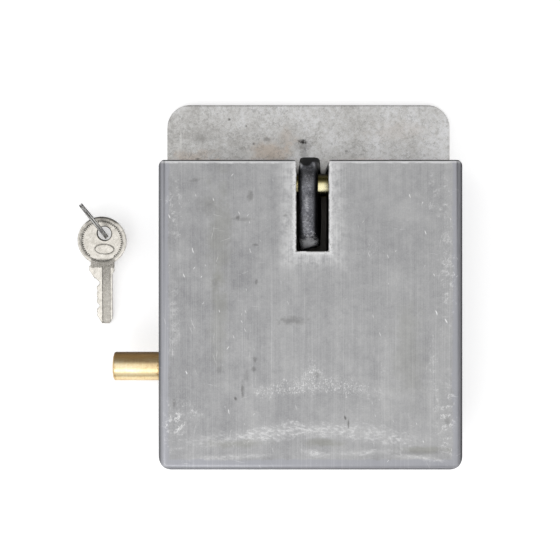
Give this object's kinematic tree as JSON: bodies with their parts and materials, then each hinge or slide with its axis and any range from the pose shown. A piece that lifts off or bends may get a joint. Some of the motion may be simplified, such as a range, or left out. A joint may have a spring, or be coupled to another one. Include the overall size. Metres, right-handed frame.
{
  "type": "gate lock",
  "caption": "Surface-mounted steel box lock for a gate: a keyed brass cylinder draws a brass bolt across a slot, holding a steel link; the key lies beside it.",
  "frame": {"origin": "on the back face of the back plate, at the centre of the cover's width and height", "axes": "the lock lies on its back: +X to the right along the bolt, +Y up the face towards the slot's open end and the plate's rounded strip, +Z out of the front cover"},
  "size_m": [0.1958, 0.1858, 0.045],
  "materials": {
    "cover_steel": "matt bare sheet steel, drawn lines and scuffs",
    "plate_steel": "matt bare plate steel with pits and faint brown marks",
    "inner_steel": "machined steel, matt",
    "screw_steel": "zinc plated",
    "link_steel": "black mill scale, half gloss",
    "brass": "turned brass, satin",
    "key_nickel": "stamped key, nickel plated, worn",
    "ring_nickel": "nickel plated spring steel"
  },
  "bodies": {
    "housing": {"back_plate": "plate_steel", "front_cover": "cover_steel", "cover_blocks": "inner_steel", "cover_screws": "screw_steel", "slot_liner": "inner_steel", "left_bolt_guide": "inner_steel", "right_bolt_guide": "inner_steel", "guide_screws": "screw_steel", "guide_studs": "inner_steel", "stud_washers": "screw_steel", "stud_screws": "screw_steel", "barrel": "brass", "barrel_clamp": "inner_steel", "clamp_screws": "screw_steel", "grub_screw": "screw_steel", "drum_bearing": "inner_steel", "bearing_screws": "screw_steel"},
    "plug": {"plug": "brass", "wafers": "brass", "wafer_springs": "inner_steel", "plug_circlip": "inner_steel", "drum": "inner_steel"},
    "carriage": {"carriage": "inner_steel", "follower_pin": "inner_steel", "bolt": "brass", "bolt_nut": "screw_steel"},
    "link": {"link": "link_steel"},
    "key": {"key": "key_nickel"},
    "key_ring": {"key_ring": "ring_nickel"}
  },
  "joints": [
    {"name": "key_turn", "type": "hinge", "parent": "housing", "child": "plug", "pos_m": [-0.08, -0.0268, 0.0242], "axis": [1, 0, 0], "range_deg": [0, 360]},
    {"name": "bolt_slide", "type": "slide", "parent": "housing", "child": "carriage", "axis": [-1, 0, 0], "range_m": [0, 0.0255]},
    {"name": "link_swing", "type": "hinge", "parent": "housing", "child": "link", "pos_m": [0.00025, 0.06525, 0.0242], "axis": [-1, 0, 0], "range_deg": [0, 110]},
    {"name": "key_lift", "type": "slide", "parent": "housing", "child": "key", "axis": [0, 0, 1], "range_m": [0, 0.06]},
    {"name": "ring_turn", "type": "hinge", "parent": "key", "child": "key_ring", "pos_m": [-0.11233, 0.04782, 0.0114], "axis": [0.7751, 0.6232, -0.1045], "continuous": true}
  ],
  "couplings": [
    {"joint": "key_turn", "follows": "bolt_slide", "rad_per_m": 246.4}
  ]
}
